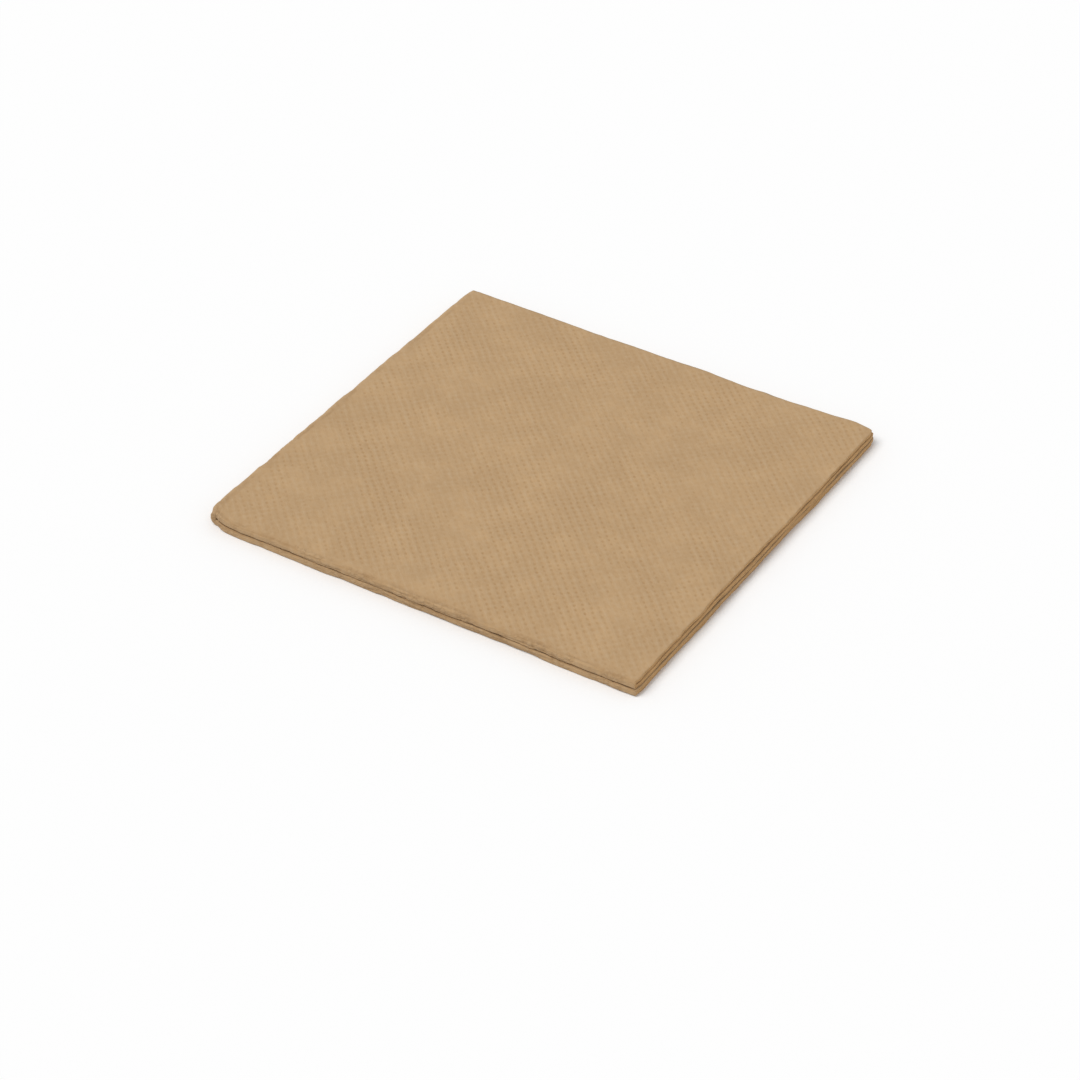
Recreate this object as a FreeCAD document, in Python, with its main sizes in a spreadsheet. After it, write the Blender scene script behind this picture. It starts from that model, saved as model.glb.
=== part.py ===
# A paper napkin: one square sheet of soft embossed paper, folded in half twice into four leaves.
#
# The first fold doubles the sheet into a pair of leaves and lies along the -Y side. The second
# fold turns that pair over on itself round the -X side, so the outer leaf wraps the inner one.
# The +X and +Y sides are open and show the cut edges of all four leaves. The underside rests
# flat on z = 0, and the origin is the middle of the underside.

import FreeCAD, Part
import Sketcher
import os

NODE = "napkin"

DRIVING_SIZES = {
    "open_width": 250.0,  # width of the square sheet before it is folded
    "leaf_thickness": 0.85,  # the plies of one leaf, joined and embossed, over the emboss
    "first_fold_gap": 0.25,  # air between the two leaves that the first fold joins
    "second_fold_gap": 0.3,  # air between the lower and the upper pair at the second fold
    "open_edge_lift": 0.3,  # how far the upper pair springs open towards the +X side
    "outer_leaf_setback": 0.3,  # how much the outer leaf of a pair falls short of the inner at +X
    "first_fold_mismatch": 0.3,  # how much the outer leaf falls short of the inner one at +Y
    "second_fold_mismatch": 0.3,  # how much the upper pair falls short of the lower one at +X
}

# The two leaves that the first fold joins, with the air between them, are one pair.
PAIR = "(2 * size.leaf_thickness + size.first_fold_gap)"
# The middle of a leaf turns round the first fold on this radius.
LEAF_TURN = "((size.leaf_thickness + size.first_fold_gap) / 2)"
# The middle of a pair turns round the second fold on this radius.
PAIR_TURN = f"(({PAIR} + size.second_fold_gap) / 2)"

# A half turn takes pi times its radius out of the sheet, and what is left is shared by the two
# straight stretches that it joins. The mismatch makes one longer and the other shorter.
OUTER_LEAF = f"((size.open_width - pi * {LEAF_TURN} - size.first_fold_mismatch) / 2)"
INNER_LEAF = f"((size.open_width - pi * {LEAF_TURN} + size.first_fold_mismatch) / 2)"
# Round the second fold the outer leaf of the pair travels further than the inner one, so at the
# open side its edge stays behind. The pair is drawn to the end of the inner leaf.
OPEN_RUNS = f"(size.open_width - pi * {PAIR_TURN} + size.outer_leaf_setback)"
LOWER_PAIR = f"(({OPEN_RUNS} + size.second_fold_mismatch) / 2)"
UPPER_PAIR = f"(({OPEN_RUNS} - size.second_fold_mismatch) / 2)"

# The folded napkin is centred on the origin, with each fold standing out on the minus side.
LENGTH_X = f"({LOWER_PAIR} + {PAIR_TURN} + {PAIR} / 2)"
LENGTH_Y = f"({INNER_LEAF} + {PAIR} / 2)"
OPEN_END_X = f"({LENGTH_X} / 2)"
FIRST_FOLD_Y = f"(({PAIR} - {LENGTH_Y}) / 2)"
MIDDLE_OF_LOWER_PAIR_Z = f"({PAIR} / 2)"
MIDDLE_OF_UPPER_PAIR_Z = f"({PAIR} / 2 + 2 * {PAIR_TURN} + size.open_edge_lift)"

AXES = -1
START = 1
END = 2
CENTRE = 3


def make_sheet(doc):
    """The spreadsheet of driving sizes, one row for each."""
    sheet = doc.addObject("Spreadsheet::Sheet", "size")
    for row, (alias, value) in enumerate(DRIVING_SIZES.items(), start=1):
        sheet.set(f"A{row}", alias)
        sheet.set(f"B{row}", str(value))
        sheet.setAlias(f"B{row}", alias)
    doc.recompute()
    return sheet


def new_sketch(body, name, plane_role, offset="0 mm"):
    """A sketch parallel to one of the body's origin planes, moved along its normal by offset."""
    plane = [item for item in body.Origin.OriginFeatures if item.Role == plane_role][0]
    sketch = body.newObject("Sketcher::SketchObject", name)
    sketch.AttachmentSupport = (plane, [""])
    sketch.MapMode = "FlatFace"
    sketch.setExpression("AttachmentOffset.Base.z", offset)
    return sketch


def draw_line(sketch, start, end):
    """Draws a straight line between two points of the sketch and returns its number."""
    segment = Part.LineSegment(FreeCAD.Vector(*start, 0), FreeCAD.Vector(*end, 0))
    return sketch.addGeometry(segment, False)


def draw_arc(sketch, first, middle, last):
    """Draws an arc through three points of the sketch and returns its number."""
    arc = Part.Arc(*[FreeCAD.Vector(*point, 0) for point in (first, middle, last)])
    return sketch.addGeometry(arc, False)


def tie(sketch, *what):
    """Adds a constraint that holds no size, such as a tangency."""
    sketch.addConstraint(Sketcher.Constraint(*what))


def measure(sketch, name, expression, *what):
    """Adds a named dimension that follows an expression of the driving sizes."""
    number = sketch.addConstraint(Sketcher.Constraint(*what, 1.0))
    sketch.renameConstraint(number, name)
    sketch.setExpression(f"Constraints.{name}", expression)


def point_of(sketch, line, wanted):
    """Tells which end of a line or arc lies nearest to a wanted point of the sketch."""
    ends = (START, END)
    return min(ends, key=lambda end: sketch.getPoint(line, end).distanceToPoint(wanted))


def draw_pair_section(body):
    """The doubled sheet cut across the first fold: two leaves joined by a half round at -Y.

    The sketch's own axes are Y across the fold and Z upwards. The outer leaf is the lower one.
    """
    sketch = new_sketch(body, "pair_section", "YZ_Plane", OPEN_END_X)
    leaf = DRIVING_SIZES["leaf_thickness"]
    gap = DRIVING_SIZES["first_fold_gap"]
    reach = DRIVING_SIZES["open_width"] / 4
    pair = 2 * leaf + gap
    middle = pair / 2

    underside = draw_line(sketch, (-reach, 0), (reach, 0))
    outer_edge = draw_line(sketch, (reach, 0), (reach, leaf))
    outer_inside = draw_line(sketch, (reach, leaf), (-reach, leaf))
    inside_arc = draw_arc(sketch, (-reach, leaf), (-reach - gap / 2, middle), (-reach, leaf + gap))
    inner_inside = draw_line(sketch, (-reach, leaf + gap), (reach, leaf + gap))
    inner_edge = draw_line(sketch, (reach, leaf + gap), (reach, pair))
    top_side = draw_line(sketch, (reach, pair), (-reach, pair))
    outside_arc = draw_arc(sketch, (-reach, pair), (-reach - middle, middle), (-reach, 0))

    inside_low = point_of(sketch, inside_arc, FreeCAD.Vector(-reach, leaf, 0))
    inside_high = point_of(sketch, inside_arc, FreeCAD.Vector(-reach, leaf + gap, 0))
    outside_low = point_of(sketch, outside_arc, FreeCAD.Vector(-reach, 0, 0))
    outside_high = point_of(sketch, outside_arc, FreeCAD.Vector(-reach, pair, 0))

    tie(sketch, "Coincident", underside, END, outer_edge, START)
    tie(sketch, "Coincident", outer_edge, END, outer_inside, START)
    tie(sketch, "Tangent", outer_inside, END, inside_arc, inside_low)
    tie(sketch, "Tangent", inside_arc, inside_high, inner_inside, START)
    tie(sketch, "Coincident", inner_inside, END, inner_edge, START)
    tie(sketch, "Coincident", inner_edge, END, top_side, START)
    tie(sketch, "Tangent", top_side, END, outside_arc, outside_high)
    tie(sketch, "Tangent", outside_arc, outside_low, underside, START)
    for level in (underside, outer_inside, inner_inside, top_side):
        tie(sketch, "Horizontal", level)
    for upright in (outer_edge, inner_edge):
        tie(sketch, "Vertical", upright)
    tie(sketch, "Vertical", inside_arc, inside_low, outside_arc, outside_low)
    tie(sketch, "PointOnObject", underside, START, AXES)

    measure(sketch, "outer_leaf", "size.leaf_thickness", "DistanceY", outer_edge, START, outer_edge, END)
    measure(sketch, "inner_leaf", "size.leaf_thickness", "DistanceY", inner_edge, START, inner_edge, END)
    measure(sketch, "gap", "size.first_fold_gap", "DistanceY", outer_edge, END, inner_edge, START)
    measure(sketch, "outer_length", OUTER_LEAF, "DistanceX", underside, START, underside, END)
    measure(sketch, "inner_length", INNER_LEAF, "DistanceX", inner_inside, START, inner_inside, END)
    measure(sketch, "fold_line", f"-{FIRST_FOLD_Y}", "DistanceX", underside, START, AXES, START)
    return sketch


def draw_pair_path(body):
    """The line that the middle of the pair follows, seen along the second fold.

    The sketch's own axes are X away from the fold and Z upwards. The line comes in level below,
    turns over on a half round at -X and goes out above, rising to the open side.
    """
    sketch = new_sketch(body, "pair_path", "XZ_Plane")
    reach = DRIVING_SIZES["open_width"] / 4
    turn = DRIVING_SIZES["leaf_thickness"] + DRIVING_SIZES["second_fold_gap"]
    low = turn / 2
    high = low + 2 * turn
    lift = DRIVING_SIZES["open_edge_lift"]

    lower = draw_line(sketch, (reach, low), (-reach, low))
    half_turn = draw_arc(sketch, (-reach, low), (-reach - turn, low + turn), (-reach, high))
    upper = draw_line(sketch, (-reach, high), (reach, high + lift))

    arc_low = point_of(sketch, half_turn, FreeCAD.Vector(-reach, low, 0))
    arc_high = point_of(sketch, half_turn, FreeCAD.Vector(-reach, high, 0))
    tie(sketch, "Horizontal", lower)
    tie(sketch, "Tangent", lower, END, half_turn, arc_low)
    tie(sketch, "Tangent", half_turn, arc_high, upper, START)

    measure(sketch, "height", MIDDLE_OF_LOWER_PAIR_Z, "DistanceY", AXES, START, lower, START)
    measure(sketch, "open_end", OPEN_END_X, "DistanceX", AXES, START, lower, START)
    measure(sketch, "lower_length", LOWER_PAIR, "DistanceX", lower, END, lower, START)
    measure(sketch, "turn", PAIR_TURN, "Radius", half_turn)
    measure(sketch, "upper_length", UPPER_PAIR, "DistanceX", half_turn, CENTRE, upper, END)
    measure(sketch, "lift", "size.open_edge_lift", "DistanceY", upper, START, upper, END)
    return sketch


def fold_sheet(body):
    """Carries the pair's section round the second fold, which makes all four leaves at once."""
    section = draw_pair_section(body)
    path = draw_pair_path(body)
    pipe = body.newObject("PartDesign::AdditivePipe", "folded_sheet")
    pipe.Profile = section
    pipe.Spine = (path, [""])
    pipe.Mode = "Standard"
    pipe.Transition = "Transformed"
    return pipe


def draw_setback(body, name, height, open_end):
    """What the outer leaf of a pair lacks at the open side, seen from above.

    Its long edge lies a setback inside the open end. Beside the first fold it tapers away to
    nothing, because there the sheet passes from the outer to the inner leaf. The taper leaves
    the sheet halfway out on the fold, well inside the fold's outer round, and is drawn on.
    """
    sketch = new_sketch(body, name, "XY_Plane", height)
    reach = DRIVING_SIZES["open_width"] / 4
    setback = DRIVING_SIZES["outer_leaf_setback"]
    past = reach + DRIVING_SIZES["leaf_thickness"] + DRIVING_SIZES["first_fold_gap"]

    taper = draw_line(sketch, (reach + setback, -past), (reach - setback, -reach))
    edge = draw_line(sketch, (reach - setback, -reach), (reach - setback, past))
    far = draw_line(sketch, (reach - setback, past), (past, past))
    outside = draw_line(sketch, (past, past), (past, -past))
    near = draw_line(sketch, (past, -past), (reach + setback, -past))

    outline = (taper, edge, far, outside, near)
    for this, following in zip(outline, outline[1:] + outline[:1]):
        tie(sketch, "Coincident", this, END, following, START)
    for level in (far, near):
        tie(sketch, "Horizontal", level)
    for upright in (edge, outside):
        tie(sketch, "Vertical", upright)

    edge_line = f"{open_end} - size.outer_leaf_setback"
    measure(sketch, "edge_line", edge_line, "DistanceX", AXES, START, edge, START)
    measure(sketch, "taper", "2 * size.outer_leaf_setback", "DistanceX", edge, START, taper, START)
    measure(sketch, "fold_line", f"-{FIRST_FOLD_Y}", "DistanceY", edge, START, AXES, START)
    measure(sketch, "taper_reach", f"{PAIR} / 2", "DistanceY", taper, START, taper, END)
    measure(sketch, "edge_length", f"{INNER_LEAF} + {PAIR}", "DistanceY", edge, START, edge, END)
    measure(sketch, "overcut", PAIR, "DistanceX", near, END, near, START)
    return sketch


def cut_setback(body, name, height, depth, open_end):
    """Shortens one outer leaf at the open side, from the given height upwards."""
    pocket = body.newObject("PartDesign::Pocket", name)
    pocket.Profile = draw_setback(body, f"{name}_outline", height, open_end)
    pocket.Reversed = True
    pocket.setExpression("Length", depth)
    return pocket


def make_napkin(doc):
    """The napkin: the folded sheet, with its two outer leaves shortened at the open side."""
    body = doc.addObject("PartDesign::Body", NODE)
    body.Label = NODE
    body.Placement = FreeCAD.Placement()
    steps = [fold_sheet(body)]
    half_pair = f"{PAIR} / 2"
    upper_end = f"{OPEN_END_X} - size.second_fold_mismatch"
    steps.append(cut_setback(body, "lowest_leaf", "0 mm", half_pair, OPEN_END_X))
    steps.append(cut_setback(body, "topmost_leaf", MIDDLE_OF_UPPER_PAIR_Z, PAIR, upper_end))
    doc.recompute()
    return body, steps


def check(doc, body, steps):
    """Stops if anything failed to build, or if a cut took nothing away."""
    failed = [item.Name for item in doc.Objects if {"Invalid", "Error"} & set(item.State)]
    if failed:
        raise RuntimeError(f"these did not build: {failed}")
    for before, after in zip(steps, steps[1:]):
        if not after.Shape.Volume < before.Shape.Volume:
            raise RuntimeError(f"{after.Name} cuts nothing")
    shape = body.Shape
    if shape.isNull() or not shape.isValid() or len(shape.Solids) != 1:
        raise RuntimeError("the napkin is not one valid solid")


def main():
    doc = FreeCAD.newDocument("paper_napkin")
    make_sheet(doc)
    body, steps = make_napkin(doc)
    check(doc, body, steps)

    shape = body.Shape
    box = shape.optimalBoundingBox(False)
    print(f"{NODE}: {box.XLength:.2f} x {box.YLength:.2f} x {box.ZLength:.2f} mm")
    print(f"volume {shape.Volume / 1000:.3f} cubic cm, area {shape.Area / 100:.1f} square cm")
    os.makedirs("parts", exist_ok=True)
    shape.exportStep(f"parts/{NODE}.step")


main()
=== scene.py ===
# %% [markdown]
# # A folded paper napkin
#
# This lesson dresses one paper napkin: a square of soft brown tissue, folded in half twice, with
# a fine pattern of pressed points all over it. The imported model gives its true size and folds.
# Here the sheet is drawn again as one dense surface that has the pressed points, the soft edges
# and the small waves of real tissue, and it gets the finish of unbleached kraft tissue.

# %% Load the frame
import math

import bpy
import numpy as np
from mathutils import Matrix, Vector


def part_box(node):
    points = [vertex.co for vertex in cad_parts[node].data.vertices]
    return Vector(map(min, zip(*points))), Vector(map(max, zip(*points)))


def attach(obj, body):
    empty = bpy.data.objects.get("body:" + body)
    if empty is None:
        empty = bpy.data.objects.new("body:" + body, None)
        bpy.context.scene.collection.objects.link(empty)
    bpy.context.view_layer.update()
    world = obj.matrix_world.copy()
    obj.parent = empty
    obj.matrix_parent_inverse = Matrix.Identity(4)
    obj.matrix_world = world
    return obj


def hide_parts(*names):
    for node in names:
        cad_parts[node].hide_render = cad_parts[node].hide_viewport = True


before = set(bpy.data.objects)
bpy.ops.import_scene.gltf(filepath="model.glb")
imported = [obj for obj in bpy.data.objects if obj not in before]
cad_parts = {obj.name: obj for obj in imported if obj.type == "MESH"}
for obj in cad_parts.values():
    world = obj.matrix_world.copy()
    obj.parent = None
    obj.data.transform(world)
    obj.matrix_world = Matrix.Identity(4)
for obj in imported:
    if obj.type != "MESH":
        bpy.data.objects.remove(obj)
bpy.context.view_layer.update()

NODE = "napkin"
BODY = "root"
MM = 0.001

# %% [markdown]
# ## The sizes of the folded sheet
#
# A folded sheet has few sizes of its own: its open width, the thickness of a leaf and the air
# between the leaves. They are the same ones that the solid model was made from, in millimetres,
# because the new surface has to lie where the solid lies. The places of the two folds and of the
# open ends are then read from the solid's box instead of being written a second time.

# %% Sizes in millimetres
OPEN_WIDTH = 250.0
LEAF = 0.85
FIRST_GAP = 0.25
SECOND_GAP = 0.3
OPEN_LIFT = 0.3
OUTER_SETBACK = 0.3
FIRST_MISMATCH = 0.3
SECOND_MISMATCH = 0.3

low, high = (np.array(corner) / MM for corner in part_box(NODE))
PAIR = 2 * LEAF + FIRST_GAP
LEAF_TURN = (LEAF + FIRST_GAP) / 2
PAIR_TURN = (PAIR + SECOND_GAP) / 2
FIRST_FOLD_Y = low[1] + PAIR / 2
SECOND_FOLD_X = low[0] + PAIR / 2 + PAIR_TURN

# How far each flat run reaches from its fold to its open end.
LOWER_RUN = high[0] - SECOND_FOLD_X
UPPER_RUN = LOWER_RUN - SECOND_MISMATCH
INNER_RUN = high[1] - FIRST_FOLD_Y
OUTER_RUN = INNER_RUN - FIRST_MISMATCH
print(f"one pair of leaves {PAIR:.2f} mm, folded napkin in mm:", (high - low).round(1))

# %% [markdown]
# ## Soft random hills
#
# Tissue is never flat or even. Its waves, its mottled tone and its ragged edges all come from
# one function: smooth random hills of a wanted size. Blender has noise textures for this, but a
# whole-array function in numpy can shape the mesh itself, and a fixed seed gives the same sheet
# on every run.

# %% Smooth steps and smooth noise
LATTICE = 256


def ease(t):
    """Goes from 0 to 1 with no kink at either end: 6t^5 - 15t^4 + 10t^3, for t held in 0..1."""
    t = np.clip(t, 0, 1)
    return t * t * t * (t * (6 * t - 15) + 10)


def hills(x, y, size, seed):
    """Smooth random heights between -1 and 1, with hills about `size` apart.

    A lattice of random heights is blended between its four nearest corners with `ease`.
    """
    heights = np.random.default_rng(seed).uniform(-1, 1, (LATTICE, LATTICE))
    x, y = np.broadcast_arrays(np.asarray(x, float) / size, np.asarray(y, float) / size)
    column, row = np.floor(x).astype(int), np.floor(y).astype(int)
    across, along = ease(x - column), ease(y - row)

    def corner(right, up):
        return heights[(column + right) % LATTICE, (row + up) % LATTICE]

    near = corner(0, 0) * (1 - across) + corner(1, 0) * across
    far = corner(0, 1) * (1 - across) + corner(1, 1) * across
    return near * (1 - along) + far * along


sample = hills(np.arange(100)[:, None], np.arange(100)[None, :], 5.0, 1)
print(f"a sample of hills goes from {sample.min():.2f} to {sample.max():.2f}")

# %% [markdown]
# ## Where the grid lines run
#
# The sheet is a function of two parameters: u runs along the sheet across the second fold and v
# runs across the first one, both in millimetres of paper, with 0 in the middle of a fold. A grid
# over u and v could be even, but the pressed points need four grid steps each, and hidden leaves
# need far fewer. So each direction gets its own list of lines: fine and on the pattern where the
# face shows, closer round the folds, wider on what is hidden.
#
# The points lie in staggered rows, 67 diagonal rows to a side, which makes 2.64 mm from a point
# to the next one straight along the side.

# %% Grid lines
POINT_STEP = 2.64
FINE = POINT_STEP / 4
MIDDLING = POINT_STEP / 2
WIDE = 2.0
TURN_STEPS_SECOND = 16
TURN_STEPS_FIRST = 18
LEAST_STEP = 0.3

# Paper taken up by each fold, measured along the middle of the outer leaf.
SECOND_FOLD_PAPER = math.pi * (PAIR_TURN + LEAF_TURN)
FIRST_FOLD_PAPER = math.pi * LEAF_TURN


def run_lines(start, end, step):
    """Lines from start to end, on whole multiples of step in between.

    A line closer to either end than the share LEAST_STEP of a step is left out.
    """
    inside = np.arange(math.ceil(start / step), math.floor(end / step) + 1) * step
    sliver = LEAST_STEP * step
    inside = inside[(inside - start > sliver) & (end - inside > sliver)]
    return np.concatenate([[start], inside, [end]])


def sheet_lines(before, after, fold_paper, step_before, step_after, turn_steps):
    """Lines over a whole side of the sheet, through its fold.

    Returns for each line its place in the paper, its angle round the fold (0 before it, pi after
    it) and its distance out from the fold's centre line.
    """
    half = fold_paper / 2
    left = -run_lines(half, half + before, step_before)[::-1]
    turn = np.linspace(-half, half, turn_steps + 1)[1:-1]
    right = run_lines(half, half + after, step_after)
    paper = np.concatenate([left, turn, right])
    angle = math.pi * np.clip((paper + half) / fold_paper, 0, 1)
    out = np.maximum(np.abs(paper) - half, 0)
    return paper, angle, out


u, turn_u, out_u = sheet_lines(
    LOWER_RUN, UPPER_RUN, SECOND_FOLD_PAPER, MIDDLING, FINE, TURN_STEPS_SECOND
)
v, turn_v, out_v = sheet_lines(
    OUTER_RUN, INNER_RUN, FIRST_FOLD_PAPER, FINE, WIDE, TURN_STEPS_FIRST
)
print(f"outer skin: {len(u)} x {len(v)} lines")
print(f"paper in the folds: {FIRST_FOLD_PAPER:.2f} mm and {SECOND_FOLD_PAPER:.2f} mm")

# %% [markdown]
# ## The pressed points
#
# Two steel rollers press the plies of a napkin together, and one of them carries rows of blunt
# points. Each point leaves a pit with soft walls. A pit could be a bump in the material, but
# pits this wide catch the light and show in the mesh, so they are shaped in the surface. The
# product of two cosines has its peaks in exactly the staggered rows that the points form. A
# share of the product of the two sines, added to it, draws each pit out along one diagonal, the
# way that the paper was pulled. A high power then narrows the pits and widens what lies between.
#
# A roller never bites evenly. Where the plies lie loose, as beside the folds and in some uneven
# patches, the points fade away, and no two pits are quite as deep.

# %% Pits
PIT_DEPTH = 0.15
PIT_SHARPNESS = 3.5
PIT_PULL = 0.36
CREPE_DEPTH = 0.035
CREPE_SIZE = 1.6


def point_rows(u, v):
    """1 on every pressed point and -1 halfway between: cos a cos b + PIT_PULL sin a sin b.

    Here a and b are 2 pi u / POINT_STEP and 2 pi v / POINT_STEP.
    """
    a, b = 2 * math.pi * u / POINT_STEP, 2 * math.pi * v / POINT_STEP
    return np.cos(a) * np.cos(b) + PIT_PULL * np.sin(a) * np.sin(b)


print(f"pits {PIT_DEPTH} mm deep, {POINT_STEP / math.sqrt(2):.2f} mm from one to the next")

# %% Where the pits fade
# The middle of the bite and its most, and by how much patches, spots and single points change it.
BITE = 0.78
MOST_BITE = 1.2
PATCH_SHARE = 0.42
PATCH_SIZE = 13.0
PATCH_STRETCH = 2.2
SPOT_SHARE = 0.25
SPOT_SIZE = PATCH_SIZE / 3
POINT_SHARE = 0.35
POINT_SIZE = 1.9

# The plain band along the first fold, the one along the second, and how wide the pits fade in.
FIRST_BAND = 0.3
BAND_SWAY = 1.5
BAND_SWAY_SIZE = 21.0
BAND_RIPPLE = 0.6
BAND_RIPPLE_SIZE = 6.0
SECOND_BAND = 0.2
FADE_AT_FOLD = 2.0
FADE_AT_END = 1.4


def bite(u, v, out_u, out_v, end_u, end_v):
    """How hard the rollers bit, 0 to about 1: uneven patches, and nothing at folds and ends."""
    diagonal, across = (u + v) / PATCH_STRETCH, u - v
    patches = BITE + PATCH_SHARE * hills(diagonal, across, PATCH_SIZE, 11)
    patches = patches + SPOT_SHARE * hills(u, v, SPOT_SIZE, 12)
    patches = patches + POINT_SHARE * hills(u, v, POINT_SIZE, 15)
    plain_band = FIRST_BAND + BAND_SWAY * hills(u, 0, BAND_SWAY_SIZE, 13)
    plain_band = plain_band + BAND_RIPPLE * hills(u, 0, BAND_RIPPLE_SIZE, 14)
    beside_first_fold = ease((out_v - plain_band) / FADE_AT_FOLD)
    beside_second_fold = ease((out_u - SECOND_BAND) / FADE_AT_FOLD)
    beside_ends = ease(end_u / FADE_AT_END) * ease(end_v / FADE_AT_END)
    return np.clip(patches, 0, MOST_BITE) * beside_first_fold * beside_second_fold * beside_ends


# %% [markdown]
# ## Folding the sheet
#
# A folded sheet could be bent with cloth simulation, but a pressed fold is regular and a formula
# gives it cleanly. Both folds are half turns. The first one puts a point of the sheet at a
# distance w from the middle of its pair: w is -r cos(a) for a turn by the angle a on the radius
# r, and the same turn brings it back by r sin(a). The second fold then turns the whole pair the
# same way on the radius R - w. With the angle 0 the formulas give the flat run before a fold,
# and with pi the flat run after it, so one expression covers the whole sheet.
#
# On top of that come the things that make it tissue: air that varies from place to place, cut
# edges that wander by a few tenths of a millimetre, and corners that are no longer sharp.

# %% Air between the leaves
AIR_VARIES = 0.6
AIR_HILL = 19.0
RUFFLE = 0.35
RUFFLE_HILL = 6.5
SETTLED = 0.45
LOOSE_REACH = 9.0
LEAST_AIR = 0.22
FOLD_HOLDS = 7.0
SHUT_SHARE = 0.9
SHUT_REACH = 4.0


def air_changes(x, y, to_open_end):
    """How much wider than even the three gaps are at a place on the folded napkin, lowest first.

    Each gap has its own hills. They die out towards the fold that holds its leaves together.
    Near the open ends a quicker ruffle joins them, and the leaves settle closer. The gap between
    the two pairs is held by the second fold only, and it is nearly shut along the first one.
    """
    held_first, held_second = ease(y / FOLD_HOLDS), ease(x / FOLD_HOLDS)
    loose = np.exp(-to_open_end / LOOSE_REACH)
    sprung = SECOND_GAP + OPEN_LIFT * x / UPPER_RUN
    shut = SHUT_SHARE * np.exp(-y / SHUT_REACH)
    changes = []
    for seed, gap, held, closer in (
        (21, FIRST_GAP, held_first * held_second, 0),
        (22, sprung, held_second, shut),
        (23, FIRST_GAP, held_first * held_second, 0),
    ):
        wave = AIR_VARIES * hills(x, y, AIR_HILL, seed) - SETTLED * loose - closer
        wave = wave + RUFFLE * loose * hills(x, y, RUFFLE_HILL, seed + 10)
        changes.append(gap * held * np.clip(wave, LEAST_AIR - 1, 1 - LEAST_AIR))
    return changes


print(f"air between the leaves: never under {LEAST_AIR:.0%} of the even gap")

# %% Pressed folds
FIRST_SQUARENESS = 5.0
SECOND_SQUARENESS = 2.6


def squared(turn, n):
    """The radius of a pressed fold over a round one's: (|cos|^n + |sin|^n)^(-1/n), 1 for n = 2."""
    return (np.abs(np.cos(turn)) ** n + np.abs(np.sin(turn)) ** n) ** (-1 / n)


bulge = squared(math.pi / 4, FIRST_SQUARENESS)
print(f"on its diagonal the first fold bulges {bulge:.2f} times as far as a round one")

# %% What strays from the even sheet
# Each has its height, the size of its hills and, at folds and cuts, how far it reaches in.
PULL_WANDER = 0.45
PULL_SIZE = 8.0
POINT_WANDER = 0.14
POINT_WANDER_SIZE = 2.7
FREE_AFTER = 8.0
FLOOR_WAVE = 0.12
FLOOR_SIZE = 24.0

EDGE_WANDER = 0.20
EDGE_SIZE = 15.0
EDGE_FRAY = 0.08
FRAY_SIZE = 2.4
EDGES_APART = 40
EDGE_REACH = 3.0

FOLD_WANDER = 0.12
FIRST_FOLD_SIZE = 9.0
FIRST_RIPPLE_SIZE = 3.1
FIRST_RIPPLE_SHARE = 0.5
SECOND_FOLD_SIZE = 7.0
SECOND_RIPPLE_SIZE = 2.9
FOLD_REACH = 3.0

# How far each corner is pulled in, and over what length. Both folds meet at the closed corner.
CLOSED_PULL = 1.3
CLOSED_REACH = 3.0
OPEN_PULL = 0.35 * CLOSED_PULL
OPEN_REACH = 1.3
HALF_OPEN_PULL = 0.2 * CLOSED_PULL
HALF_OPEN_REACH = 1.6


def corner_pulls(out_u, out_v, end_u, end_v):
    """How far the four corners pull the sheet along x and y: pull times exp(-distance / reach)."""
    closed = CLOSED_PULL * np.exp(-(out_u + out_v) / CLOSED_REACH)
    front = HALF_OPEN_PULL * np.exp(-(end_u + out_v) / HALF_OPEN_REACH)
    opened = OPEN_PULL * np.exp(-(end_u + end_v) / OPEN_REACH)
    back = HALF_OPEN_PULL * np.exp(-(out_u + end_v) / HALF_OPEN_REACH)
    return closed + back - front - opened, closed + front - back - opened


print(f"the closed corner is pulled in by {CLOSED_PULL} mm, the open one by {OPEN_PULL:.2f} mm")


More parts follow.
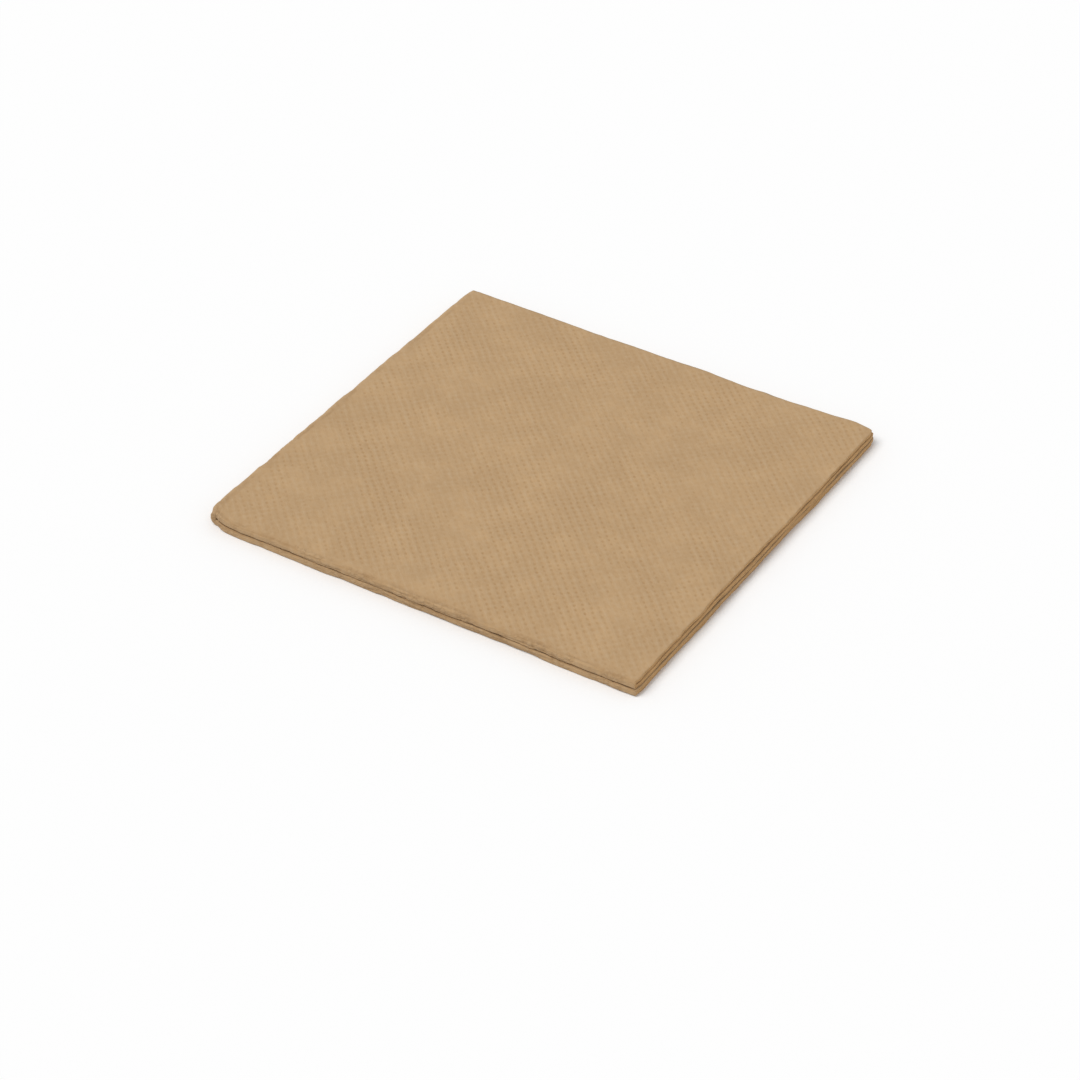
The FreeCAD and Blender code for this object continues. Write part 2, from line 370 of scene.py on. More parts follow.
# %% The surface of the folded sheet
def folded(u, v, turn_u, turn_v, out_u, out_v, side):
    """Places points of the sheet in space, in millimetres, as an array with x, y, z last.

    u, v are places in the paper, turn_ the angles round the folds, out_ the distances from the
    fold lines, and side the distance from the leaf's middle towards its outer face. A fold puts a
    point at -radius cos(turn) across it and -radius sin(turn) along it, past the flat run out_.
    """
    u, v, turn_u, turn_v, out_u, out_v, side = np.broadcast_arrays(
        u, v, turn_u, turn_v, out_u, out_v, side
    )
    upper = ease(turn_u / math.pi)
    inner = turn_v / math.pi
    run_u = LOWER_RUN + upper * (UPPER_RUN - LOWER_RUN)
    run_v = OUTER_RUN + inner * (INNER_RUN - OUTER_RUN)
    end_u, end_v = run_u - out_u, run_v - out_v

    radius = (LEAF_TURN + side) * squared(turn_v, FIRST_SQUARENESS)
    w = -radius * np.cos(turn_v)
    pair_radius = (PAIR_TURN - w) * squared(turn_u, SECOND_SQUARENESS)
    y = FIRST_FOLD_Y + out_v - radius * np.sin(turn_v)
    x = SECOND_FOLD_X + out_u - pair_radius * np.sin(turn_u)
    z = PAIR / 2 + PAIR_TURN - pair_radius * np.cos(turn_u)
    z = z + upper * OPEN_LIFT * out_u / UPPER_RUN

    # The points stray only where the paper is free, away from folds and cuts.
    free = ease(out_u / FREE_AFTER) * ease(out_v / FREE_AFTER)
    free = free * ease(end_u / FREE_AFTER) * ease(end_v / FREE_AFTER)
    pull = PULL_WANDER * hills(u, v, PULL_SIZE, 47)
    x = x + np.sign(u) * free * (pull + POINT_WANDER * hills(u, v, POINT_WANDER_SIZE, 48))
    y = y + np.sign(v) * free * (pull + POINT_WANDER * hills(u, v, POINT_WANDER_SIZE, 49))

    # The lowest leaf waves a little above the floor, and the air lifts each leaf on the one below.
    floor_wave = FLOOR_WAVE * (1 + hills(out_u, out_v, FLOOR_SIZE, 31)) / 2
    floor_wave = floor_wave * ease(out_u / FOLD_HOLDS) * ease(out_v / FOLD_HOLDS)
    lowest, middle, topmost = air_changes(out_u, out_v, np.minimum(end_u, end_v))
    z = z + floor_wave + lowest * (inner * (1 - upper) + upper)
    z = z + upper * (middle + topmost * (1 - inner))

    # Each cut wanders and is frayed. Hills read EDGES_APART away give each leaf its own line.
    near_open_u, near_open_v = np.exp(-end_u / EDGE_REACH), np.exp(-end_v / EDGE_REACH)
    leaf_u, leaf_v = EDGES_APART * upper, EDGES_APART * inner
    fray_u, fray_v = hills(v, leaf_u, FRAY_SIZE, 42), hills(u, leaf_v, FRAY_SIZE, 44)
    cut_u = EDGE_WANDER * hills(v, leaf_u, EDGE_SIZE, 41) + EDGE_FRAY * fray_u
    cut_v = EDGE_WANDER * hills(u, leaf_v, EDGE_SIZE, 43) + EDGE_FRAY * fray_v
    x = x + near_open_u * (cut_u - OUTER_SETBACK * (1 - inner))
    y = y + near_open_v * cut_v

    # The folds aren't straight either: long waves, with short ripples on them.
    near_fold_u, near_fold_v = np.exp(-out_u / FOLD_REACH), np.exp(-out_v / FOLD_REACH)
    second_wave = hills(out_v, 0, SECOND_FOLD_SIZE, 45) + hills(out_v, 0, SECOND_RIPPLE_SIZE, 55)
    first_ripple = FIRST_RIPPLE_SHARE * hills(u, 0, FIRST_RIPPLE_SIZE, 56)
    first_wave = hills(u, 0, FIRST_FOLD_SIZE, 46) + first_ripple
    x = x + near_fold_u * FOLD_WANDER * second_wave
    y = y + near_fold_v * FOLD_WANDER * first_wave

    pull_x, pull_y = corner_pulls(out_u, out_v, end_u, end_v)
    return np.stack([x + pull_x, y + pull_y, z], axis=-1)


# %% [markdown]
# ## Thickness, creases and the outer face
#
# Along a cut the plies are free, so they fluff up and a leaf is a little thicker there. Round a
# fold the outer plies have been squeezed along the crease. That leaves long fine creases beside
# each other, with crumpled cells between them here and there. Both could be painted as bump, but
# they shape the outline of the folds, so they move the surface. A crease is drawn wherever a
# field of random hills passes through 0, so creases branch and meet like those of real paper.

# %% Half thickness and creases
EDGE_SWELL = 1.10
SWELL_REACH = 1.6
CREASE_DEPTH = 0.20
CREASE_LENGTH = 12.0
CREASE_SPACING = 1.1
CREASE_WIDTH = 0.55
CREASE_REACH = 1.1
CREASE_SWAY = 0.5
SWAY_SIZE = 14.0

# The crumpled cells: their share of the creases' depth, how wide their lines are, how much longer
# they are than high, and how much of the fold they take, in stretches of what size.
CELL_SIZE = 1.9
CELL_SHARE = 0.7
CELL_WIDTH = 0.45
CELL_FLATTENED = 1.3
CRUMPLED_MIDDLE = 0.5
CRUMPLED_CHANGE = 1.2
CRUMPLED_SIZE = 11.0


def half_leaf(end_u, end_v):
    """Half of the leaf's thickness: LEAF / 2 inside, times EDGE_SWELL along the cut ends."""
    inside = ease(end_u / SWELL_REACH) * ease(end_v / SWELL_REACH)
    return LEAF / 2 * (EDGE_SWELL + (1 - EDGE_SWELL) * inside)


def crease(heights, width):
    """1 where the heights pass through 0, falling to 0 at `width`: (1 - |h| / width)^2."""
    return np.clip(1 - np.abs(heights) / width, 0, 1) ** 2


def creases(along, paper, turn, out, radius, seed):
    """How deep the creases round a fold are, from 0 to 1 + CELL_SHARE, from place and angle.

    Across the fold they are laid out on the skin itself: (turn - pi/2) * radius, and the distance
    out from the fold beyond that.
    """
    skin = (turn - math.pi / 2) * radius + np.sign(paper) * out
    skin = skin + CREASE_SWAY * hills(along, 0, SWAY_SIZE, seed)
    stretch = CREASE_LENGTH / CREASE_SPACING
    long_lines = crease(hills(along, skin * stretch, CREASE_LENGTH, seed + 1), CREASE_WIDTH)
    stretches = hills(along, skin, CRUMPLED_SIZE, seed + 2)
    crumpled = ease(CRUMPLED_MIDDLE + CRUMPLED_CHANGE * stretches)
    cells = crease(hills(along, CELL_FLATTENED * skin, CELL_SIZE, seed + 3), CELL_WIDTH)
    return np.exp(-out / CREASE_REACH) * (long_lines + CELL_SHARE * crumpled * cells)


print(f"creases round a fold: up to {(1 + CELL_SHARE) * CREASE_DEPTH:.2f} mm deep")


# %% The outer face as one grid
def open_distance(turn, out, before, after):
    """Distance of each grid line from the open end of its run."""
    return np.where(turn > math.pi / 2, after, before) - out


end_u = open_distance(turn_u, out_u, LOWER_RUN, UPPER_RUN)
end_v = open_distance(turn_v, out_v, OUTER_RUN, INNER_RUN)

grid = dict(
    u=u[:, None], v=v[None, :], turn_u=turn_u[:, None], turn_v=turn_v[None, :],
    out_u=out_u[:, None], out_v=out_v[None, :],
)
crease_depth_and_shade = creases(u[:, None], v[None, :], grid["turn_v"], grid["out_v"], PAIR / 2, 51)
crease_depth_and_shade = crease_depth_and_shade + creases(
    v[None, :], u[:, None], grid["turn_u"], grid["out_u"], PAIR_TURN + PAIR / 2, 61
)
pressed = bite(
    grid["u"], grid["v"], grid["out_u"], grid["out_v"], end_u[:, None], end_v[None, :]
)
pits = ((1 + point_rows(grid["u"], grid["v"])) / 2) ** PIT_SHARPNESS
outer_side = half_leaf(end_u[:, None], end_v[None, :])
outer_side = outer_side - PIT_DEPTH * pressed * pits - CREASE_DEPTH * crease_depth_and_shade
outer_side = outer_side + CREPE_DEPTH * hills(grid["u"], grid["v"], CREPE_SIZE, 17)
outer_points = folded(**grid, side=outer_side)
print("outer face in mm:", outer_points.min((0, 1)).round(2), outer_points.max((0, 1)).round(2))

# %% [markdown]
# ## Closing the surface
#
# The grid is only the outer face of the sheet. Blender's Solidify modifier would double it at
# full density, with pits that nobody sees. So the inner face is a coarse copy, its lines a few
# of the same ones, and between the two runs a rim: the outline of the grid, carried from the
# outer side of the leaf to the inner one. On its way it bulges once for each of the three plies,
# whose cut ends are soft and ragged. One ring of triangles joins the many points of the rim to
# the few of the inner face.

# %% Rings round a grid
PLIES = 3
STEPS_IN_PLY = 3
INSIDE_EVERY = 4


def outline_of(rows, columns):
    """Row and column numbers round the edge of a grid, each once, in one turn from (0, 0)."""
    along, up = np.arange(rows - 1), np.arange(columns - 1)
    last_row, last_column = np.full(columns - 1, rows - 1), np.full(rows - 1, columns - 1)
    row = np.concatenate([along, last_row, last_row[0] - along, 0 * up])
    column = np.concatenate([0 * along, up, last_column, last_column[0] - up])
    return row, column


def way_round(rows_at, columns_at):
    """How far round the outline each of its points lies: 0 to 4, one for each side."""
    side_u = (rows_at - rows_at[0]) / (rows_at[-1] - rows_at[0])
    side_v = (columns_at - columns_at[0]) / (columns_at[-1] - columns_at[0])
    return np.concatenate([side_u[:-1], 1 + side_v[:-1], 3 - side_u[:0:-1], 4 - side_v[:0:-1]])


def ring_faces(ring, next_ring):
    """Pairs of triangles between two closed rings that have the same number of points."""
    after, next_after = np.roll(ring, -1), np.roll(next_ring, -1)
    first = np.stack([ring, after, next_after], axis=-1)
    second = np.stack([ring, next_after, next_ring], axis=-1)
    return np.concatenate([first, second])


def zip_faces(ring, way, next_ring, next_way):
    """Triangles between two closed rings with different numbers of points.

    Every edge of either ring gets one triangle, whose third corner is the point of the other ring
    that lies nearest to the middle of the edge, counted by the way round.
    """
    middles = (way + np.append(way[1:], 4.0)) / 2
    next_middles = (next_way + np.append(next_way[1:], 4.0)) / 2
    far = np.searchsorted(next_middles, middles, side="left") % len(next_ring)
    near = np.searchsorted(middles, next_middles, side="right") % len(ring)
    from_ring = np.stack([ring, np.roll(ring, -1), next_ring[far]], axis=-1)
    from_next = np.stack([np.roll(next_ring, -1), next_ring, ring[near]], axis=-1)
    return np.concatenate([from_ring, from_next])


def grid_faces(numbers, lean):
    """Two triangles for each square of a grid of point numbers, on the diagonal that lean picks."""
    a, b = numbers[:-1, :-1], numbers[:-1, 1:]
    c, d = numbers[1:, 1:], numbers[1:, :-1]
    lean = lean[..., None]
    one = np.where(lean, np.stack([a, b, d], axis=-1), np.stack([a, b, c], axis=-1))
    two = np.where(lean, np.stack([b, c, d], axis=-1), np.stack([a, c, d], axis=-1))
    return np.concatenate([one.reshape(-1, 3), two.reshape(-1, 3)])


# %% The two sides of the rim
outer_numbers = np.arange(outer_points[..., 0].size).reshape(outer_points.shape[:2])
rim_row, rim_column = outline_of(*outer_numbers.shape)
edge_ring = outer_numbers[rim_row, rim_column]

# The inner side of the rim, and the way outwards at each of its points.
edge_outer = outer_points[rim_row, rim_column]
edge_inner = folded(
    u[rim_row], v[rim_column], turn_u[rim_row], turn_v[rim_column],
    out_u[rim_row], out_v[rim_column], -half_leaf(0, 0),
)
inward_row = np.clip(rim_row, 1, len(u) - 2)
inward_column = np.clip(rim_column, 1, len(v) - 2)
outward = edge_outer - outer_points[inward_row, inward_column]
outward /= np.linalg.norm(outward, axis=-1, keepdims=True)
print(f"rim: {len(edge_ring)} points round the sheet")

# %% The cut ends of the plies
PLY_BULGE = 0.13
PLY_RAGGED = 0.10
TUFT_SIZE = 3.0
TUFTS_APART = 3.0
SMALL_TUFT_SIZE = 1.3
SMALL_TUFT_SHARE = 0.6
PARTED_MIDDLE = 0.65
PARTED_CHANGE = 0.35
PARTED_SIZE = 5.0
PARTED_APART = 20.0

# The share of the way through the leaf, and the distance along the cut, of each point of the rim.
through = np.linspace(0, 1, PLIES * STEPS_IN_PLY + 1)[1:, None]
steps_along = np.abs(np.diff(u[rim_row], append=u[0])) + np.abs(np.diff(v[rim_column], append=v[0]))
along_cut = np.cumsum(steps_along)[None, :]

# Each ply's end bulges by half a wave of a sine and has its own tufts, TUFTS_APART for each ply.
ply_place = TUFTS_APART * PLIES * through
ragged = hills(along_cut, ply_place, TUFT_SIZE, 71)
ragged = ragged + SMALL_TUFT_SHARE * hills(along_cut, ply_place, SMALL_TUFT_SIZE, 72)
soft_end = PLY_BULGE * np.abs(np.sin(math.pi * PLIES * through)) + PLY_RAGGED * ragged
soft_end = soft_end * np.sqrt(4 * through * (1 - through))

# Between two plies the cut gets a line of painted shade, here darker and there lighter.
ply_ends = np.arange(1, len(through) + 1)[:, None] % STEPS_IN_PLY == 0
ply_gap_shade = PARTED_MIDDLE + PARTED_CHANGE * hills(along_cut, PARTED_APART * through, PARTED_SIZE, 73)
ply_gap_shade = ply_ends * ply_gap_shade
through = through[..., None]
rim_points = edge_outer * (1 - through) + edge_inner * through + outward * soft_end[..., None]
rim_numbers = outer_numbers.size + np.arange(rim_points[..., 0].size).reshape(rim_points.shape[:2])
rings = np.concatenate([edge_ring[None], rim_numbers])
print(f"cut ends: from {soft_end.min():.2f} to {soft_end.max():.2f} mm beyond the leaf")

# %% The inner face, and all together
# The inner face uses one line in INSIDE_EVERY, and starts one line in from the rim.
keep_u = np.append(np.arange(1, len(u) - 2, INSIDE_EVERY), len(u) - 2)
keep_v = np.append(np.arange(1, len(v) - 2, INSIDE_EVERY), len(v) - 2)
inner_half = half_leaf(end_u[keep_u, None], end_v[None, keep_v])
inner_points = folded(
    u[keep_u, None], v[None, keep_v], turn_u[keep_u, None], turn_v[None, keep_v],
    out_u[keep_u, None], out_v[None, keep_v], -inner_half,
)
first_inner = outer_numbers.size + rim_numbers.size
inner_numbers = first_inner + np.arange(inner_points[..., 0].size).reshape(inner_points.shape[:2])
inner_row, inner_column = outline_of(*inner_numbers.shape)

points_in_rows = np.rint(u / FINE)[:-1, None] + np.rint(v / FINE)[None, :-1]
faces = np.concatenate([
    grid_faces(outer_numbers, points_in_rows % 2 == 0),
    *[ring_faces(ring, next_ring) for ring, next_ring in zip(rings[:-1], rings[1:])],
    zip_faces(
        rings[-1], way_round(u, v), inner_numbers[inner_row, inner_column],
        way_round(u[keep_u], v[keep_v]),
    ),
    grid_faces(inner_numbers, np.ones(np.subtract(inner_numbers.shape, 1), bool))[:, ::-1],
])
points = np.concatenate([
    outer_points.reshape(-1, 3), rim_points.reshape(-1, 3), inner_points.reshape(-1, 3)
])
# The floor presses flat what would stand out below it.
points[:, 2] = np.maximum(points[:, 2], 0)
print(f"closed sheet: {len(points)} points, {len(faces)} triangles")


# %% Into a Blender mesh
def point_values(outer, rim, inner):
    """One value a point, in the order of the points, each part spread over its own grid."""
    outer = np.broadcast_to(outer, outer_numbers.shape)
    rim = np.broadcast_to(rim, rim_numbers.shape)
    inner = np.broadcast_to(inner, inner_numbers.shape)
    return np.concatenate([outer.ravel(), rim.ravel(), inner.ravel()])


def make_mesh(name, points, faces):
    """A smooth mesh from arrays of points in millimetres and of triangles."""
    mesh = bpy.data.meshes.new(name)
    mesh.vertices.add(len(points))
    mesh.vertices.foreach_set("co", (points * MM).ravel())
    mesh.loops.add(faces.size)
    mesh.loops.foreach_set("vertex_index", faces.ravel())
    mesh.polygons.add(len(faces))
    mesh.polygons.foreach_set("loop_start", np.arange(0, faces.size, 3))
    mesh.update(calc_edges=True)
    mesh.polygons.foreach_set("use_smooth", np.ones(len(faces), bool))
    if mesh.validate():
        raise RuntimeError("the mesh had faces that do not hold together")
    return mesh


# The places in the paper become the UV map, and what the finish follows becomes attributes.
BEND_REACH = 0.5
BENT_SECOND = 0.55
LAYERED_FIRST = 0.45
LAYERED_SECOND = 0.2
paper_u = point_values(grid["u"], u[rim_row][None, :], u[keep_u, None])
paper_v = point_values(grid["v"], v[rim_column][None, :], v[None, keep_v])

napkin_mesh = make_mesh("folded_napkin", points, faces)
uv_map = napkin_mesh.uv_layers.new(name="paper")
flat_place = np.stack([paper_u, paper_v], axis=-1) / OPEN_WIDTH + 0.5
uv_map.data.foreach_set("uv", flat_place[faces.ravel()].ravel())
on_first = np.exp(-((grid["out_v"] / BEND_REACH) ** 2))
on_second = np.exp(-((grid["out_u"] / BEND_REACH) ** 2))
bent = np.clip(on_first + BENT_SECOND * on_second, 0, 1)
# Where the edges of layers show, round the folds and all round the rim: sunk by the bump and given
# painted shade in the colour.
layered_shade_and_bump = np.clip(LAYERED_FIRST * on_first + LAYERED_SECOND * on_second, 0, 1)
ATTRIBUTES = {
    "pressed": point_values(pressed, 0, 0),
    # The crease depth moves the surface, and gives the creases painted shade in the colour.
    "crease_depth_and_shade": point_values(crease_depth_and_shade, 0, 0),
    "bent": point_values(bent, 0, 0),
    "layered_shade_and_bump": point_values(layered_shade_and_bump, 1, 0),
    # The rim, which gets painted light in the colour.
    "cut": point_values(0, 1, 0),
    # The lines between plies on the rim, which get painted shade in the colour.
    "ply_gap_shade": point_values(0, ply_gap_shade, 0),
}
for name, values in ATTRIBUTES.items():
    napkin_mesh.attributes.new(name, "FLOAT", "POINT").data.foreach_set("value", values)
    print(f"{name}: {values.mean():.3f} on average, {values.max():.2f} at most")

# %% The napkin in the frame
napkin = bpy.data.objects.new("folded_napkin", napkin_mesh)
bpy.context.collection.objects.link(napkin)
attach(napkin, BODY)
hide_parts(NODE)

# %% [markdown]
# ## Kraft tissue
#
# The napkin is unbleached kraft tissue: soft wood pulp that keeps its brown lignin, made on a
# creping cylinder and left uncoated. To the eye that gives a warm matte brown with almost no
# gloss, a faint fuzz that lightens it at flat angles, a cloudy tone where the pulp lay thicker,
# and short pale fibres. Pressed points are darker, partly because there the plies are squeezed
# dense and partly as painted shade in the pits. The ridges between them are pale, because the
# fibres stand loose. The cut ends are lighter and warmer, painted light for the light that
# passes through the plies, with lines of painted shade where two plies part, and the folds get
# painted shade in their creases, crumpled cells and the edges of layers.
#
# An image texture would carry all that, but nodes keep it sharp at any size and follow the
# paper's own map, round both folds. The map's unit is the open sheet, so it is scaled back to
# millimetres first, and then each pattern's scale is simply one over its size.

# %% Colours and a node helper
TISSUE = "#BF9D73"
TISSUE_CLOUD = "#B4936B"
# The pits' tone: partly the denser squeezed plies, partly painted shade in the pits.
TISSUE_PIT_TONE_AND_SHADE = "#A98356"
TISSUE_RIDGE = "#C1A785"
# Painted shade: put in creases, crumpled cells, layer edges and between plies.
TISSUE_PAINTED_SHADE = "#8E6A43"
# Painted light: the lighter, warmer tone of the cut ends stands in for light passing through the
# plies.
PAINTED_CUT_LIGHT = "#DDAF76"

MATH, VECTOR, RANGE = "ShaderNodeMath", "ShaderNodeVectorMath", "ShaderNodeMapRange"
NOISE, MIX, ATTRIBUTE = "ShaderNodeTexNoise", "ShaderNodeMix", "ShaderNodeAttribute"


def colour(hex_code):
    """Linear RGBA from an sRGB hex code.

    Each part c becomes ((c + 0.055) / 1.055) ^ 2.4, or c / 12.92 where it is nearly black.
    """
    parts = [int(hex_code[i:i + 2], 16) / 255 for i in (1, 3, 5)]
    linear = [c / 12.92 if c <= 0.04045 else ((c + 0.055) / 1.055) ** 2.4 for c in parts]
    return (*linear, 1.0)


def add_node(tree, kind, inputs=None, **settings):
    """Adds a node with its settings and returns it.

    An input is a plain value, a socket to link from, or a node whose first output is linked.
    """
    node = tree.nodes.new(kind)
    for name, value in settings.items():
        setattr(node, name, value)
    for socket, value in (inputs or {}).items():
        if isinstance(value, bpy.types.Node):
            value = value.outputs[0]
        if isinstance(value, bpy.types.NodeSocket):
            tree.links.new(value, node.inputs[socket])
        else:
            node.inputs[socket].default_value = value
    return node


print("tissue in linear light:", [round(part, 3) for part in colour(TISSUE)[:3]])

# %% Places in the paper and in the room
tissue = bpy.data.materials.new("kraft_tissue_paper")
tissue.use_nodes = True
tree = tissue.node_tree
tree.nodes.clear()

# The place in the open sheet in millimetres, and the same drawn out along the pull of the web.
PULL_STRETCH = 7.0
paper = add_node(tree, "ShaderNodeUVMap", uv_map="paper")
centred = add_node(tree, VECTOR, {0: paper, 1: (0.5, 0.5, 0)}, operation="SUBTRACT")
place = add_node(tree, VECTOR, {0: centred, "Scale": OPEN_WIDTH}, operation="SCALE")
turned = add_node(
    tree, "ShaderNodeMapping",
    {"Vector": place, "Rotation": (0, 0, -math.pi / 4)}, vector_type="POINT",
)
drawn_out = add_node(
    tree, VECTOR, {0: turned, 1: (1 / PULL_STRETCH, 1, 1)}, operation="MULTIPLY"
)
# The place in the room in millimetres, and the same drawn out level, for the edges of layers.
LAYER_STRETCH = 10.0
coordinates = add_node(tree, "ShaderNodeTexCoord").outputs["Object"]
room = add_node(tree, VECTOR, {0: coordinates, "Scale": 1 / MM}, operation="SCALE")
layered_place = add_node(
    tree, VECTOR, {0: room, 1: (1 / LAYER_STRETCH, 1 / LAYER_STRETCH, 1)}, operation="MULTIPLY"
)

# %% The marks of the pressed points
# The points, by the formula that shaped the pits.
angle = add_node(tree, VECTOR, {0: place, "Scale": 2 * math.pi / POINT_STEP}, operation="SCALE")
cosines, sines = (
    add_node(tree, "ShaderNodeSeparateXYZ", {0: add_node(tree, VECTOR, {0: angle}, operation=kind)})
    for kind in ("COSINE", "SINE")
)
sine_product = add_node(
    tree, MATH, {0: sines.outputs[0], 1: sines.outputs[1]}, operation="MULTIPLY"
)
sine_share = add_node(tree, MATH, {0: sine_product, 1: PIT_PULL}, operation="MULTIPLY")
rows = add_node(
    tree, MATH, {0: cosines.outputs[0], 1: cosines.outputs[1], 2: sine_share},
    operation="MULTIPLY_ADD",
)
held = {
    name: add_node(tree, ATTRIBUTE, attribute_name=name).outputs["Fac"]
    for name in ATTRIBUTES
}

# %% Soft patterns
CRUMPLE_CELL = 1.0
CRUMPLE_STRETCH = 1.7
CRUMPLE_SHIFT = 0.9

# Each pattern: where it is laid out, the size of its hills in mm, its detail and roughness, and
# the two noise values between which it goes from 0 to 1. Fibres are 0.03 mm thick in truth and
# drawn ten times coarser, because finer ones would not show.
PATTERNS = {
    "clouds": (place, 14.0, 3.0, 0.60, 0.35, 0.65),
    "patches": (place, 4.5, 2.0, 0.60, 0.32, 0.68),
    "mottle": (place, 1.5, 1.5, 0.50, 0.30, 0.70),
    "streaks": (drawn_out, 0.5, 3.0, 0.60, 0.30, 0.70),
    "threads": (drawn_out, 0.8, 2.0, 0.50, 0.42, 0.66),
    "fibres": (place, 0.35, 2.0, 0.60, 0.30, 0.70),
    "layers": (layered_place, 0.35, 3.0, 0.60, 0.40, 0.66),
    "crumples": (room, 6.0, 1.0, 0.50, 0.42, 0.56),
}
pattern = {}
for name, (where, size, detail, roughness, start, end) in PATTERNS.items():
    noise = add_node(
        tree, NOISE, {"Vector": where, "Scale": 1 / size, "Detail": detail, "Roughness": roughness}
    )
    pattern[name] = add_node(
        tree, RANGE, {"Value": noise.outputs["Fac"], "From Min": start, "From Max": end},
        interpolation_type="SMOOTHSTEP",
    )

# A pit is where the rows peak, the roller bit and the paper gave way. A ridge lies between pits.
dots = add_node(
    tree, RANGE, {"Value": rows, "From Min": 0.25, "From Max": 1.0}, interpolation_type="SMOOTHSTEP"
)
bitten = add_node(tree, MATH, {0: dots, 1: held["pressed"]}, operation="MULTIPLY")
gave_way = add_node(tree, RANGE, {"Value": pattern["mottle"], "To Min": 0.35, "To Max": 1.0})
point = add_node(tree, MATH, {0: bitten, 1: gave_way}, operation="MULTIPLY")
between = add_node(
    tree, RANGE, {"Value": rows, "From Min": 0.2, "From Max": -0.9},
    interpolation_type="SMOOTHSTEP",
)
ridge = add_node(tree, MATH, {0: between, 1: pattern["threads"]}, operation="MULTIPLY")
# The edges of layers: sunk by the bump and darkened in the colour as painted shade.
layer = add_node(tree, MATH, {0: pattern["layers"], 1: held["layered_shade_and_bump"]}, operation="MULTIPLY")

# Where a fold is crumpled, creases run round small cells: the lines halfway between cell centres.
# The cells are longer than high, and a noise shifts their lines by up to CRUMPLE_SHIFT mm.
shift = add_node(tree, NOISE, {"Vector": room, "Scale": 1 / CRUMPLE_CELL, "Detail": 1.0})
flattened = add_node(
    tree, VECTOR, {0: room, 1: (1 / CRUMPLE_STRETCH, 1 / CRUMPLE_STRETCH, 1)}, operation="MULTIPLY"
)
shifted = add_node(
    tree, VECTOR, {0: shift.outputs["Color"], 1: (CRUMPLE_SHIFT,) * 3, 2: flattened},
    operation="MULTIPLY_ADD",
)
cells = add_node(
    tree, "ShaderNodeTexVoronoi", {"Vector": shifted, "Scale": 1 / CRUMPLE_CELL},
    feature="DISTANCE_TO_EDGE",
)
cell_lines = add_node(
    tree, RANGE, {"Value": cells.outputs["Distance"], "From Min": 0.22, "From Max": 0.0},
    interpolation_type="SMOOTHSTEP",
)
crumpled = add_node(tree, MATH, {0: pattern["crumples"], 1: held["bent"]}, operation="MULTIPLY")
# The cell lines are sunk by the bump and darkened in the colour as painted shade.
crumple_shade_and_bump = add_node(tree, MATH, {0: crumpled, 1: cell_lines}, operation="MULTIPLY")

# %% Colour, fuzz and the shader
plain = add_node(tree, "ShaderNodeRGB")
plain.outputs[0].default_value = colour(TISSUE)
base = plain.outputs[0]
for tint, amount, share in (
    (TISSUE_CLOUD, pattern["clouds"], 1.0),
    (TISSUE_CLOUD, pattern["patches"], 0.55),
    (TISSUE_CLOUD, pattern["streaks"], 0.3),
    (TISSUE_RIDGE, ridge, 0.38),
    (TISSUE_RIDGE, pattern["mottle"], 0.25),
    (TISSUE_RIDGE, pattern["fibres"], 0.12),
    # Darker pits: partly the denser squeezed plies, partly painted shade in the pits.
    (TISSUE_PIT_TONE_AND_SHADE, point, 0.57),
    # Painted light on the cut ends, for the light that passes through the plies.
    (PAINTED_CUT_LIGHT, held["cut"], 0.85),
    # Painted shade along the edges of layers.
    (TISSUE_PAINTED_SHADE, layer, 0.16),
    # Painted shade in the crease valleys.
    (TISSUE_PAINTED_SHADE, held["crease_depth_and_shade"], 0.26),
    # Painted shade in the lines of the crumpled cells.
    (TISSUE_PAINTED_SHADE, crumple_shade_and_bump, 0.25),
    # Painted shade where two plies part.
    (TISSUE_PAINTED_SHADE, held["ply_gap_shade"], 0.45),
):
    part = add_node(tree, MATH, {0: amount, 1: share}, operation="MULTIPLY", use_clamp=True)
    base = add_node(tree, MIX, {0: part, 6: base, 7: colour(tint)}, data_type="RGBA").outputs[2]

# Fuzz and creping are about 0.03 mm high, on top of the pits that the mesh holds.
BUMP_HEIGHT = 0.05 * MM
height = 0.0
for source, share in (
    (pattern["fibres"], 0.4), (pattern["streaks"], 0.3), (pattern["mottle"], 0.6),
    (point, -1.0), (layer, -1.2), (crumple_shade_and_bump, -1.6),
):
    height = add_node(tree, MATH, {0: source, 1: share, 2: height}, operation="MULTIPLY_ADD")
bump = add_node(
    tree, "ShaderNodeBump", {"Height": height, "Distance": BUMP_HEIGHT, "Strength": 1.0}
)
shader = add_node(
    tree, "ShaderNodeBsdfPrincipled",
    {
        "Base Color": base, "Normal": bump, "Roughness": 0.92, "Specular IOR Level": 0.25,
        "Sheen Weight": 0.06, "Sheen Roughness": 0.5,
    },
)
add_node(tree, "ShaderNodeOutputMaterial", {"Surface": shader})
napkin_mesh.materials.append(tissue)
print("tissue nodes:", len(tree.nodes))

# %% [markdown]
# ## Floor, light and camera
#
# A small soft thing is best shown on a pale floor under broad light: a bright surround fills the
# folds, and one wide lamp from the left gives the faces their different tones. The world and the
# lamp together light a level surface at about 1, so a colour renders as it is written.
#
# The floor is white to the camera only. Seen by the lamp it is a little darker, as paper is, so
# it throws no more light at the napkin than a real table would.

# %% Floor
FLOOR_HALF = 3.0
FLOOR_SEEN = 0.99
FLOOR_LIT = 0.80


def camera_sees(tree):
    """1 for rays that come straight, mirrored or through glass from the camera, else 0."""
    ray = add_node(tree, "ShaderNodeLightPath").outputs
    some = add_node(
        tree, MATH, {0: ray["Is Camera Ray"], 1: ray["Is Glossy Ray"]}, operation="MAXIMUM"
    )
    return add_node(
        tree, MATH, {0: some, 1: ray["Is Transmission Ray"]}, operation="MAXIMUM"
    )


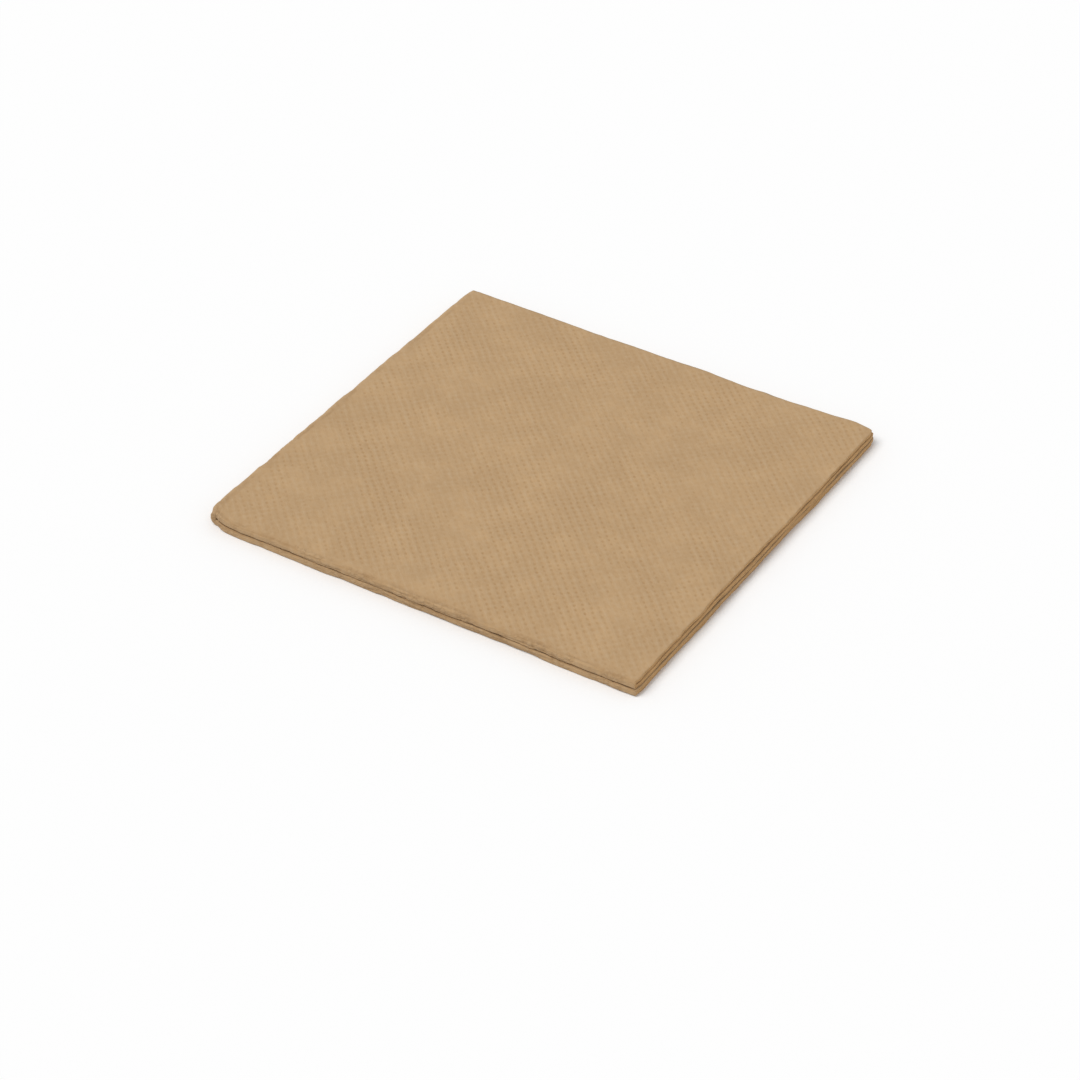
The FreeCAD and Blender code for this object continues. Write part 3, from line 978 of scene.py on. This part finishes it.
floor_mesh = bpy.data.meshes.new("floor")
floor_mesh.from_pydata(
    [(x * FLOOR_HALF, y * FLOOR_HALF, 0.0) for x, y in ((-1, -1), (1, -1), (1, 1), (-1, 1))],
    [], [(0, 1, 2, 3)],
)
floor = bpy.data.objects.new("floor", floor_mesh)
bpy.context.collection.objects.link(floor)

floor_paint = bpy.data.materials.new("white_floor")
floor_paint.use_nodes = True
floor_tree = floor_paint.node_tree
floor_tree.nodes.clear()
floor_tone = add_node(
    floor_tree, RANGE, {"Value": camera_sees(floor_tree), "To Min": FLOOR_LIT, "To Max": FLOOR_SEEN}
)
floor_shader = add_node(floor_tree, "ShaderNodeBsdfDiffuse", {"Color": floor_tone})
add_node(floor_tree, "ShaderNodeOutputMaterial", {"Surface": floor_shader})
floor_mesh.materials.append(floor_paint)
print(f"floor {2 * FLOOR_HALF:.0f} m across")

# %% Light
WORLD_LEVEL = 0.55
LAMP_LEVEL = 0.45
LAMP_FROM = Vector((-0.35, -0.40, 0.85)).normalized()
LAMP_ANGLE = math.radians(38)

world = bpy.data.worlds.new("soft_room")
bpy.context.scene.world = world
world.use_nodes = True
world_tree = world.node_tree
world_tree.nodes.clear()
world_strength = add_node(
    world_tree, RANGE, {"Value": camera_sees(world_tree), "To Min": WORLD_LEVEL, "To Max": 1.0}
)
background = add_node(
    world_tree, "ShaderNodeBackground", {"Color": (1, 1, 1, 1), "Strength": world_strength}
)
add_node(world_tree, "ShaderNodeOutputWorld", {"Surface": background})

lamp_data = bpy.data.lights.new("wide_lamp", "SUN")
lamp_data.energy = LAMP_LEVEL * math.pi / LAMP_FROM.z
lamp_data.angle = LAMP_ANGLE
lamp = bpy.data.objects.new("wide_lamp", lamp_data)
lamp.rotation_euler = LAMP_FROM.to_track_quat("Z", "Y").to_euler()
bpy.context.collection.objects.link(lamp)
print(f"lamp energy {lamp_data.energy:.3f}")

# %% Camera
CAMERA_AT = Vector((343.17, -586.95, 487.00)) * MM
AZIMUTH, ELEVATION, ROLL = (math.radians(angle) for angle in (30.402, 36.617, 1.610))
LENS = 108.77
SENSOR = 36.0

# The camera's own axes: right, up, and back towards the eye, then turned by the roll.
right = Vector((math.cos(AZIMUTH), math.sin(AZIMUTH), 0))
back = Vector((
    math.sin(AZIMUTH) * math.cos(ELEVATION), -math.cos(AZIMUTH) * math.cos(ELEVATION),
    math.sin(ELEVATION),
))
up = back.cross(right)
turned_right = math.cos(ROLL) * right + math.sin(ROLL) * up
turned_up = math.cos(ROLL) * up - math.sin(ROLL) * right

camera_data = bpy.data.cameras.new("camera")
camera_data.lens, camera_data.sensor_width = LENS, SENSOR
camera = bpy.data.objects.new("camera", camera_data)
camera.matrix_world = Matrix.Translation(CAMERA_AT) @ Matrix(
    (turned_right, turned_up, back)
).transposed().to_4x4()
bpy.context.collection.objects.link(camera)
bpy.context.scene.camera = camera
bpy.context.scene.view_settings.view_transform = "Standard"
print(f"camera {CAMERA_AT.length:.3f} m from the middle of the underside")
